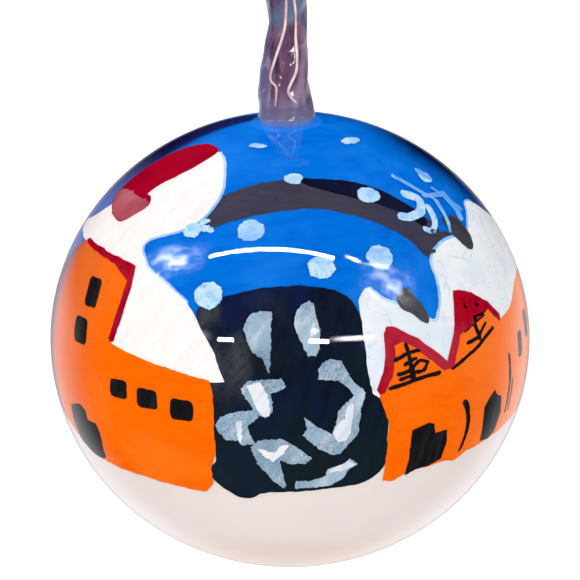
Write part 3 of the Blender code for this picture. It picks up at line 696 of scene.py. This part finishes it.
def add_gable_trees():
    """Leafless branches in each gable, over a black line that closes the gable's foot."""
    near = [stroke([(23, 1), (29, 2.4), (37.5, 3.6)], 0.9, 1.1), stroke([(28, 12), (28.8, 8), (29.6, 2.6)], 0.8, 1.4)]
    near += [stroke(twig, 1.0, 0.7) for twig in (
        [(24.4, 7.6), (28, 9.2), (32, 9.6)], [(25, 4.6), (28.5, 5), (31.4, 7), (33.6, 6.8)],
        [(25.6, 3.2), (29.5, 3.8)], [(30, 4.4), (32.6, 4.9), (33.8, 7)], [(27, 6.6), (29, 7.4), (31, 7.8)],
    )]
    far = [stroke([(40.4, 3.6), (48, 6.6), (57.4, 11)], 0.8, 1.0), stroke([(48.6, 19.6), (49.8, 14), (51.4, 8.6)], 0.7, 1.5)]
    far += [stroke(twig, 1.0, 0.7) for twig in (
        [(46.8, 16.4), (50, 16.2), (52.6, 17.8)], [(45.6, 12), (50, 13.4), (54.6, 14.6)],
        [(46.2, 9), (50.4, 9.8), (53, 11.6), (54.8, 12.6)], [(47, 14.2), (50, 15)],
    )]
    film("near_gable_branches", DETAIL, near, ink_paint, "tree_paint", "gable_tree_1")
    film("far_gable_branches", TRIM, far, ink_paint, "tree_paint", "gable_tree_2")


def add_sky_marks():
    """Falling snow, chimneys and the frosted twig."""
    smear = [stroke([(-32, 39.6), (-28, 41), (-23.6, 40.4)], 2.6, 1.2), stroke([(-30, 42), (-26, 43.4)], 2.0, 0.8)]
    film("snow_smear_paint", WALL, smear, dot_paint, "frost_paint", rag=0.5)
    high = [(-22, 69.5, 2.2, 1.1), (47, 70, 2.9, 1.5), (64, 52, 2.2, 1.9), (1.5, 57.2, 2.2, 1.8), (30, 50.4, 2.9, 2.5)]
    low = [(-31, 40, 2.2, 1.9), (-12, 41.3, 3.1, 3), (8.4, 31.8, 3.2, 2.9), (25.6, 33.2, 3.2, 3.2), (-21, 24.2, 3.5, 3.3)]
    nodes = [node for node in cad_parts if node.startswith("snow_dot")]
    dots = [dot(*spot) for spot in high + low]
    film("snow_dots_paint", TRIM, dots, dot_paint, "frost_paint", *nodes, drift=0.4, rag=0.3)
    hearts = [dot(lon + 0.4, lat + 0.2, across * 0.36, up * 0.3) for lon, lat, across, up in high[3:] + low[1:]]
    film("snow_dot_hearts", DETAIL, hearts, dot_core_paint, "frost_paint", drift=0.5, rag=0.6)
    far = [(53.4, 39.6), (57, 40.4), (61, 39), (62.4, 34.5), (60.6, 31), (57.6, 31.2), (54.4, 35.4)]
    near = [(31, 25), (28.8, 24), (27.3, 22.3), (28.3, 20), (31, 18.6), (34.6, 15.8), (35.6, 16.8), (34.6, 20)]
    chimneys = [rounded(near, steps=3), rounded(far, steps=3)]
    film("chimneys_paint", TRIM, chimneys, soft_ink_paint, "hill_paint", "chimney_1", "chimney_2")
    twigs = [stroke([(46.4, 55.4), (52, 50), (57.6, 45.6)], 1.3, 1.0), stroke([(63, 55), (66.4, 50.4)], 2.6, 2.0)]
    twigs += [stroke([(60.5, 49), (64, 45), (67.6, 40)], 1.0, 1.4), stroke([(52.6, 47.6), (60, 46.4), (66, 46)], 1.0, 1.6)]
    twigs += [stroke([(57.6, 46), (56, 40), (53.6, 36)], 1.4, 1.0), stroke([(64, 46), (64.4, 41), (62.4, 38)], 2.4, 2.0)]
    film("twig_paint", DETAIL, twigs, twig_paint, "frost_paint", "frosted_twig")
    curls = [stroke([(43.6, 49.6), (49.6, 47), (47, 43.6), (41, 42.6), (36.6, 43.6)], 2.6, 2.2)]
    curls += [stroke([(51.6, 45), (50.6, 41), (47.4, 38), (43.4, 39)], 1.8, 1.4)]
    film("twig_curl_paint", TRIM, curls, dot_paint, "frost_paint")
    shades = [stroke([(46, 38), (50, 36.4), (55, 36)], 1.6, 1.0), stroke([(42, 33), (44.6, 32.6)], 1.2, 0.6)]
    film("roof_shade_strokes", TRIM, shades, soft_ink_paint, "hill_paint")


# The glass

def add_glass_ball():
    surface = new_material("blown_clear_glass")
    tree = surface.node_tree
    ripple = noise_value(tree, place(tree, (22, 22, 30)), detail=1)
    bump = add_node(tree, "ShaderNodeBump", Height=ripple, Strength=0.1, Distance=0.6 * MM)
    glass = add_node(tree, "ShaderNodeBsdfGlass", Roughness=0.0, IOR=1.45, Normal=bump.outputs[0])
    tint = mixed(tree, spread(tree, ripple, 0.3, 0.7, 0, 1), (0.995, 0.995, 1.0), (0.985, 0.99, 1.0))
    tree.links.new(tint, glass.inputs["Color"])
    lets_lamps_through(tree, glass.outputs[0])
    hole = math.degrees(math.acos(BRUSH_HOLE_RADIUS / BALL_RADIUS))
    around, rows = 180, 90
    outside = [(90 - 0.4) - (90 - 0.4 + hole) * r / rows for r in range(rows + 1)]
    verts = []
    spots = [(lat, 0.0) for lat in outside] + [(-hole, GLASS_WALL * 0.5)] + [(lat, GLASS_WALL) for lat in outside[::-1]]
    for lat, depth in spots:
        verts += [on_ball(i * 360 / around, lat, depth) for i in range(around)]
    faces = rings_to_faces(len(spots), around, False)
    top, under = list(range(around)), [(len(spots) - 1) * around + i for i in range(around)]
    faces += [tuple(top), tuple(under[::-1])]
    add_piece("blown_glass_ball", verts, faces, surface, "clear_glass", "glass_ball")


STEM_SIDE = [(38.0, 4.7), (38.5, 4.6), (39.3, 4.5), (41.1, 4.33), (42.8, 4.08), (44.5, 3.92), (46.2, 3.83)]
STEM_SIDE += [(49.7, 3.5), (53.1, 3.17), (55.8, 3.25), (58.2, 3.42), (60.5, 3.4), (62.2, 2.95), (62.9, 1.8)]
STEM_DRIFT = [(38.0, -0.55), (41, -0.9), (45, -0.85), (49.7, -0.75), (53, -0.43), (58, -0.5), (63, 0)]


def along(table, height):
    """A value read between the entries of a (height, value) table, in millimetres."""
    for (low, first), (high, second) in zip(table, table[1:]):
        if height <= high:
            share = max(0.0, (height - low) / (high - low))
            return first + (second - first) * share
    return table[-1][1]


def stem_material():
    surface = new_material("drawn_mauve_glass")
    tree = surface.node_tree
    cloud = noise_value(tree, place(tree, (260, 260, 110)), detail=3)
    veins = noise_value(tree, place(tree, (800, 800, 60), 6), detail=2)
    highlight_streaks = noise_value(tree, place(tree, (420, 420, 34), -7), detail=1)
    height = position_part(tree, "Z")
    colour = mixed(tree, spread(tree, cloud, 0.42, 0.6), srgb(112, 76, 104), srgb(136, 108, 138))
    colour = mixed(tree, spread(tree, veins, 0.44, 0.66, 0, 0.9), colour, srgb(66, 36, 62))
    # Pale streaks of painted highlight along the stem.
    colour = mixed(tree, spread(tree, highlight_streaks, 0.52, 0.66, 0, 0.6), colour, srgb(196, 174, 192))
    # Painted reflection: the stem's left side turns blue-lavender.
    colour = mixed(tree, spread(tree, position_part(tree, "X"), -4.6, -2.9, 0.85, 0), colour, srgb(112, 116, 164))
    steel = product(tree, spread(tree, height, 52.4, 53.6), spread(tree, height, 56.6, 57.6, 0.8, 0))
    colour = mixed(tree, product(tree, steel, spread(tree, cloud, 0.4, 0.55)), colour, srgb(92, 122, 152))
    colour = mixed(tree, spread(tree, height, 38.4, 42, 0.75, 0), colour, srgb(138, 134, 156))
    dents = add_node(tree, "ShaderNodeBump", Height=cloud, Strength=0.25, Distance=0.5 * MM)
    shader = add_node(tree, "ShaderNodeBsdfPrincipled", Base_Color=colour, Roughness=0.08, IOR=1.4, Normal=dents.outputs[0])
    shader.inputs["Transmission Weight"].default_value = 0.45
    lets_lamps_through(tree, shader.outputs[0])
    return surface


STEM_FOOT, STEM_TOP = STEM_SIDE[0][0], STEM_SIDE[-1][0]
STEM_TURN = 230  # degrees that its lobes turn from foot to top


def stem_spot(height, angle):
    """The point on the lumpy drawn stem at a height above the ball's centre and an angle, -90 degrees in front."""
    radius, drift = along(STEM_SMOOTH, height), along(STEM_DRIFT, height)
    share = min(max((height - STEM_FOOT) / (STEM_TOP - STEM_FOOT), 0.0), 1.0)
    turn = angle - math.radians(STEM_TURN) * share
    calm = math.sin(math.pi * share) ** 0.5
    grain = noise.noise(Vector((math.cos(angle), math.sin(angle), height * 0.22)) * 1.6)
    lump = 1 + calm * (0.05 * math.cos(3 * turn) + 0.035 * math.cos(5 * turn + 1) + 0.05 * grain)
    x = (drift + radius * lump * math.cos(angle)) * MM
    return Vector((x, radius * lump * math.sin(angle) * MM, CENTRE_HEIGHT + height * MM))


STEM_SMOOTH = rounded(STEM_SIDE, closed=False, steps=10)


def add_stem(surface):
    around, rows = 72, 91
    verts = []
    for row in range(rows):
        height = STEM_FOOT + (STEM_TOP - STEM_FOOT) * (row / (rows - 1)) ** 1.15
        verts += [stem_spot(height, 2 * math.pi * i / around) for i in range(around)]
    faces = [tuple(reversed(face)) for face in rings_to_faces(rows, around, False)]
    foot_start = len(verts)
    for i in range(around):
        spot = verts[i].copy()
        flat = math.hypot(spot.x, spot.y)
        drop = BALL_HALF_HEIGHT * (1 - math.sqrt(1 - (flat / BALL_RADIUS) ** 2))
        verts.append(Vector((spot.x * 1.02, spot.y * 1.02, HIGH.z - drop - 0.12 * MM)))
    for i in range(around):
        j = (i + 1) % around
        faces.append((foot_start + i, foot_start + j, j, i))
    verts.append(Vector((0, 0, HIGH.z - 0.4 * MM)))
    centre = len(verts) - 1
    faces += [(centre, foot_start + (i + 1) % around, foot_start + i) for i in range(around)]
    last = (rows - 1) * around
    faces.append(tuple(last + i for i in range(around)))
    made = add_piece("drawn_glass_stem", verts, faces, surface, "stem_glass", "twisted_stem")
    made.data.set_sharp_from_angle(angle=math.radians(80))


def add_stem_highlights():
    """Painted highlights: two pale lines down the stem in front, and two more behind, built as thin strands on its
    surface.
    """
    left = [(-0.8, 61), (-0.8, 53), (-3.3, 45), (-2.2, 43), (-2.4, 40)]
    right = [(0.4, 61), (1, 52), (1, 46), (-0.3, 42.5), (1, 40.5)]
    # A pale colour that stands for the stem's glints, a painted highlight.
    surface = new_material("stem_highlight_paint")
    tree = surface.node_tree
    mottled = noise_value(tree, place(tree, (700, 700, 200)), detail=2)
    colour = mixed(tree, spread(tree, mottled, 0.4, 0.6), srgb(246, 220, 214), srgb(208, 178, 186))
    shader = add_node(tree, "ShaderNodeBsdfPrincipled", Base_Color=colour, Roughness=0.15)
    add_node(tree, "ShaderNodeOutputMaterial", Surface=shader.outputs[0])
    sides = 8
    for number, (path, turned) in enumerate(((left, 0), (right, 0), (left, 1), (right, 1)), 1):
        path = rounded(path, closed=False, steps=14)
        middles = []
        for x, height in path:
            off = (x - along(STEM_DRIFT, height)) / along(STEM_SMOOTH, height)
            angle = math.asin(max(-0.95, min(0.95, off))) - math.pi / 2 + math.pi * turned
            middles.append(stem_spot(height, angle))
        verts = []
        for i, middle in enumerate(middles):
            along_it = (middles[min(i + 1, len(middles) - 1)] - middles[max(i - 1, 0)]).normalized()
            out = Vector((middle.x, middle.y, 0)).normalized()
            across = along_it.cross(out).normalized()
            out = across.cross(along_it)
            thick = 0.24 * MM * math.sqrt(math.sin(math.pi * (i + 0.5) / len(middles)) ** 0.6)
            for k in range(sides):
                swing = 2 * math.pi * k / sides
                verts.append(middle + across * thick * math.cos(swing) + out * thick * 0.6 * math.sin(swing))
        faces = rings_to_faces(len(middles), sides, False)
        last = (len(middles) - 1) * sides
        faces += [tuple(reversed(range(sides))), tuple(last + k for k in range(sides))]
        add_piece(f"stem_highlight_{number}", verts, outward(verts, faces), surface, "stem_glass")


def outward(verts, faces):
    """The same faces of a closed shape, turned to face out of it."""
    volume = 0.0
    for face in faces:
        for i in range(1, len(face) - 1):
            volume += verts[face[0]].dot(verts[face[i]].cross(verts[face[i + 1]]))
    return faces if volume > 0 else [tuple(reversed(face)) for face in faces]


def add_loop(surface):
    """A ring bent from a glass rod and melted on to a short neck."""
    low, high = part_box("hanging_loop")
    ring_radius, rod = 6 * MM, 1.55 * MM
    middle = high.z - ring_radius - rod
    around, about = 72, 20
    verts = []
    for i in range(around):
        turn = 2 * math.pi * i / around - math.pi / 2
        thick = rod * (1 + 0.12 * math.cos(turn + math.pi / 2) + 0.05 * noise.noise(Vector((3 * math.cos(turn), 3 * math.sin(turn), 7))))
        for k in range(about):
            swing = 2 * math.pi * k / about
            out = ring_radius + thick * math.cos(swing) * 0.98
            verts.append(Vector((out * math.cos(turn), thick * math.sin(swing), middle + out * math.sin(turn))))
    faces = []
    for i in range(around):
        for k in range(about):
            a, b = i * about + k, i * about + (k + 1) % about
            c, d = (i + 1) % around * about + (k + 1) % about, (i + 1) % around * about + k
            faces.append((a, b, c, d))
    start = len(verts)
    neck = [(low.z - 0.5 * MM, 1.9), (low.z, 2.5), (low.z + 0.8 * MM, 2.5), (low.z + 2 * MM, 2.0)]
    neck += [(low.z + 3.2 * MM, 1.9), (low.z + 4.4 * MM, 1.6)]
    for height, radius in neck:
        for k in range(about):
            angle = 2 * math.pi * k / about
            verts.append(Vector((radius * MM * math.cos(angle), radius * MM * math.sin(angle), height)))
    faces += [tuple(start + n for n in reversed(face)) for face in rings_to_faces(len(neck), about, False)]
    faces.append(tuple(start + k for k in reversed(range(about))))
    faces.append(tuple(start + (len(neck) - 1) * about + k for k in range(about)))
    made = add_piece("glass_hanging_loop", verts, faces, surface, "stem_glass", "hanging_loop")
    melt = made.modifiers.new("melt", "REMESH")
    melt.mode = "VOXEL"
    melt.voxel_size = 0.28 * MM
    melt.use_smooth_shade = True
    soften = made.modifiers.new("soften", "SMOOTH")
    soften.factor = 0.5
    soften.iterations = 8


# The back of the ball

BACK_GABLES = [(141, 0), (146, 9), (151, 17), (156, 11), (162, 3), (168, 12), (175, 20), (183, 11), (191, 1)]


def add_back():
    crest = [(106, 31), (122, 40), (145, 46), (170, 44.5), (195, 38), (215, 31), (228, 25)]
    foot = [(221, 19), (202, 25), (170, 32), (145, 33), (125, 27), (110, 24)]
    film("back_hill_paint", HILL, [rounded(crest + foot)], hill_paint, "hill_paint", "back_hill_coat")
    outline = [(104, -23), (101, -8), (104, 6), (110, 17), (118, 21.5), (127, 17), (134, 6), (136, -8), (132, -23), (118, -26)]
    film("back_tree_paint", TREE, [rounded(outline)], tree_paint, "tree_paint", "back_tree_coat")
    marks = [stroke([(110, 12), (114, 5), (118, 2)], 3.6, 2.4), stroke([(121, 14), (124, 8), (122, 1)], 3.4, 2)]
    marks += [stroke([(108, -4), (114, -8), (119, -7)], 3, 2.2), stroke([(129, -1), (126, -9), (120, -13)], 3.6, 2.4)]
    marks += [stroke([(108, -14), (114, -18), (122, -19)], 3.2, 2.2)]
    film("back_tree_marks", DETAIL, marks, mark_paint, "snow_paint")
    crown = [(195, 5), (194, 14), (189, 25), (182, 31), (172, 30), (162, 22.5), (152, 27), (143, 22.5), (137.5, 12), (137.5, 3)]
    snow = [(lon, lat + 0.2) for lon, lat in BACK_GABLES] + rounded(crown, closed=False)
    film("back_roof_snow_paint", SNOW, [snow], cool_paint, "snow_paint", "back_roof_snow")
    walls = BACK_GABLES + [(191, -22), (183, -24), (166, -25.4), (150, -24), (141, -23)]
    film("back_wall_paint", WALL, [walls], wall_paint, "wall_paint", "back_house")
    trim = stroke(BACK_GABLES, 2.3, 2.1, smooth=False, tip=0.3)
    film("back_trim_paint", TRIM, [trim], trim_paint, "trim_paint", "back_house_trim")
    holes = [block(150, -4, 5.6, 5.4), block(160, -5, 5.4, 5.2), block(184, -5, 5.4, 5.4), block(151, 6.5, 3, 5)]
    holes.append([(169, -24.6), (168.6, -13), (171, -10.6), (176, -10.6), (178, -13), (178, -24.6)])
    film("back_openings_paint", DETAIL, holes, ink_paint, "tree_paint")
    bare = [stroke([(175, 15), (175.4, 9), (175, 1)], 0.8, 1.4), stroke([(170.6, 9), (175, 7), (180, 9.4)], 0.8)]
    bare += [stroke([(169.6, 4.6), (175, 3), (181, 5)], 0.9), stroke([(172, 12), (175, 10.6), (178, 12.4)], 0.7)]
    film("back_gable_branches", DETAIL, bare, ink_paint, "tree_paint")
    bank = [(199, -24), (200, -6), (210, 8), (224, 14.5), (240, 10), (254, 14), (265, 20), (271, 19), (273, 8), (272, -12)]
    film("snow_bank_paint", SNOW, [rounded(bank + [(262, -22), (230, -26)])], roof_paint, "snow_paint", "snow_bank")
    pines = []
    for lon, foot_lat, reach in ((212, -12, 5), (232, -6, 6), (254, -8, 5.4)):
        pines.append(stroke([(lon, foot_lat), (lon + 0.6, foot_lat + reach * 2.6)], 1.3, 0.7))
        for step in range(3):
            level, out = foot_lat + reach * (0.5 + 0.62 * step), reach * (0.95 - 0.24 * step)
            pines.append(stroke([(lon - out, level + out * 0.8), (lon, level)], 0.7, 1.1))
            pines.append(stroke([(lon, level + 0.4), (lon + out, level + out * 0.9)], 1.1, 0.7))
    film("bank_bare_trees", WALL, pines, ink_paint, "tree_paint")
    spots = [(112, 45, 2.4), (128, 56, 2.3), (150, 62, 2.1), (156, 37, 2.8), (186, 51, 2.4), (128, 20, 2.6)]
    spots += [(205, 61, 2.2), (208, 21, 2.8), (232, 44, 2.7), (240, 25, 2.6), (240, 58, 2.3), (256, 36, 2.5), (200, 12, 2.2)]
    film("back_snow_dots", DETAIL, [dot(*spot) for spot in spots], dot_paint, "frost_paint", drift=0.45)


# The studio

def add_light(name, start, end, width, radiance, reflected, soft=False, patchy=False):
    """A flat lamp that runs from start to end and faces the ball. A reflected one only shows in the glass."""
    start, end = from_ball(*start), from_ball(*end)
    middle = (start + end) / 2
    across = (end - start).normalized()
    back = (middle - across * middle.dot(across)).normalized()
    lamp = bpy.data.lights.new(name, "AREA")
    lamp.shape = "RECTANGLE"
    lamp.size, lamp.size_y = (end - start).length, width
    lamp.energy = radiance * math.pi * lamp.size * width
    made = bpy.data.objects.new(name, lamp)
    bpy.context.scene.collection.objects.link(made)
    axes = Matrix((across, back.cross(across), back)).transposed().to_4x4()
    made.matrix_world = Matrix.Translation(middle + Vector((0, 0, CENTRE_HEIGHT))) @ axes
    made.visible_camera = False
    made.visible_glossy = made.visible_transmission = reflected
    made.visible_diffuse = not reflected
    if soft:
        fade_edges(lamp, patchy)


def fade_edges(lamp, patchy):
    """The lamp is brightest in its middle and fades to nothing at its edges. A patchy one is cloudy as well."""
    lamp.use_nodes = True
    tree = lamp.node_tree
    place_on_lamp = add_node(tree, "ShaderNodeNewGeometry").outputs["Parametric"]
    parts = add_node(tree, "ShaderNodeSeparateXYZ", Vector=place_on_lamp)
    shares = []
    for axis in ("X", "Y"):
        rising = spread(tree, parts.outputs[axis], 0.0, 0.5)
        shares.append(product(tree, rising, spread(tree, parts.outputs[axis], 0.5, 1.0, 1.0, 0.0)))
    level = product(tree, *shares)
    if patchy:
        cloud = noise_value(tree, place_on_lamp, scale=3.6, detail=5, roughness=0.6)
        level = product(tree, level, spread(tree, cloud, 0.4, 0.66, 0.2, 2.6))
    tree.links.new(level, tree.nodes["Emission"].inputs["Strength"])


def from_ball(azimuth, elevation, distance):
    """A place seen from the ball's centre: azimuth 0 is the front and grows towards +X."""
    azimuth, elevation = math.radians(azimuth), math.radians(elevation)
    level = distance * math.cos(elevation)
    return Vector((level * math.sin(azimuth), -level * math.cos(azimuth), distance * math.sin(elevation)))


def add_studio():
    scene = bpy.context.scene
    scene.view_settings.view_transform = "Standard"
    world = bpy.data.worlds.new("tent")
    scene.world = world
    world.use_nodes = True
    tree = world.node_tree
    tree.nodes.clear()
    direction = add_node(tree, "ShaderNodeTexCoord").outputs["Generated"]
    parts = add_node(tree, "ShaderNodeSeparateXYZ", Vector=direction)
    behind = product(tree, spread(tree, parts.outputs["Y"], 0.3, 0.8), spread(tree, parts.outputs["Y"], 0.84, 0.97, 1.0, 0.42))
    level = spread(tree, parts.outputs["Z"], -0.16, 0.08, 1.0, 0.0)
    shown = product(tree, behind, level)
    paths = add_node(tree, "ShaderNodeLightPath")
    tent = add_node(tree, "ShaderNodeBackground", Color=(1, 1, 1, 1), Strength=0.85)
    dark = add_node(tree, "ShaderNodeBackground", Color=(0.97, 0.97, 1, 1), Strength=shown)
    seen = add_node(tree, "ShaderNodeMixShader", i0=paths.outputs["Is Glossy Ray"], i1=tent.outputs[0], i2=dark.outputs[0])
    add_node(tree, "ShaderNodeOutputWorld", Surface=seen.outputs[0])
    add_light("key", (-55, 42, 1.3), (0, 50, 1.3), 1.0, 1.6, False)
    add_light("backdrop", (150, 35, 2.6), (210, 35, 2.6), 1.6, 3.0, False)
    add_light("strip", (-58, 48.8, 1.1), (33.2, 54.2, 1.1), 0.04, 36, True)
    add_light("left_bar", (-34.5, 13.6, 1.0), (-26.5, 14.4, 1.0), 0.04, 40, True)
    add_light("right_bar", (8.7, 15.1, 1.0), (18.3, 14.4, 1.0), 0.044, 40, True)
    add_light("right_bar_glow", (17, 15.4, 1.0), (42, 13.4, 1.0), 0.06, 50, True, soft=True)
    add_light("right_bar_upper", (8.7, 20.5, 1.0), (15.5, 19.8, 1.0), 0.05, 22, True, soft=True)
    add_light("left_bar_glow", (-52, 14.5, 1.0), (-36, 14, 1.0), 0.12, 7, True, soft=True)
    add_light("lamp_curl", (40, 54.5, 1.0), (50, 47.5, 1.0), 0.05, 60, True, soft=True)
    add_light("lamp_curl_tail", (47, 48.5, 1.0), (66, 40, 1.0), 0.04, 26, True, soft=True)
    add_light("right_window", (40, 42, 1.0), (72, 26, 1.0), 0.42, 9, True, soft=True, patchy=True)
    add_light("left_window", (-92, 27, 1.0), (-57, 49, 1.0), 0.3, 14, True, soft=True, patchy=True)


def add_floor():
    surface = new_material("pale_floor")
    tree = surface.node_tree
    shader = add_node(tree, "ShaderNodeBsdfPrincipled", Base_Color=(0.93, 0.93, 0.93, 1), Roughness=0.9)
    add_node(tree, "ShaderNodeOutputMaterial", Surface=shader.outputs[0])
    half, height = 6.0, LOW.z - 60 * MM
    corners = [(x * half, y * half, height) for x, y in ((-1, -1), (1, -1), (1, 1), (-1, 1))]
    mesh = bpy.data.meshes.new("floor")
    mesh.from_pydata(corners, [], [(0, 1, 2, 3)])
    mesh.materials.append(surface)
    floor = bpy.data.objects.new("floor", mesh)
    bpy.context.scene.collection.objects.link(floor)
    floor.visible_glossy = False


def add_camera():
    camera = bpy.data.objects.new("camera", bpy.data.cameras.new("camera"))
    bpy.context.scene.collection.objects.link(camera)
    camera.data.lens = 208
    camera.data.clip_start, camera.data.clip_end = 0.01, 30
    centre = Vector((0, 0, CENTRE_HEIGHT))
    camera.location = centre + from_ball(0, 14, 0.56)
    aim = centre + Vector((0, 0, 8.25 * MM))
    camera.rotation_euler = (aim - camera.location).to_track_quat("-Z", "Y").to_euler()
    bpy.context.scene.camera = camera


add_backing()
add_hills()
add_tree()
add_tree_marks()
add_roof_snow()
add_houses()
add_trims()
add_openings()
add_gable_trees()
add_sky_marks()
add_back()
add_glass_ball()
drawn_glass = stem_material()
add_stem(drawn_glass)
add_stem_highlights()
add_loop(drawn_glass)
add_studio()
add_floor()
add_camera()
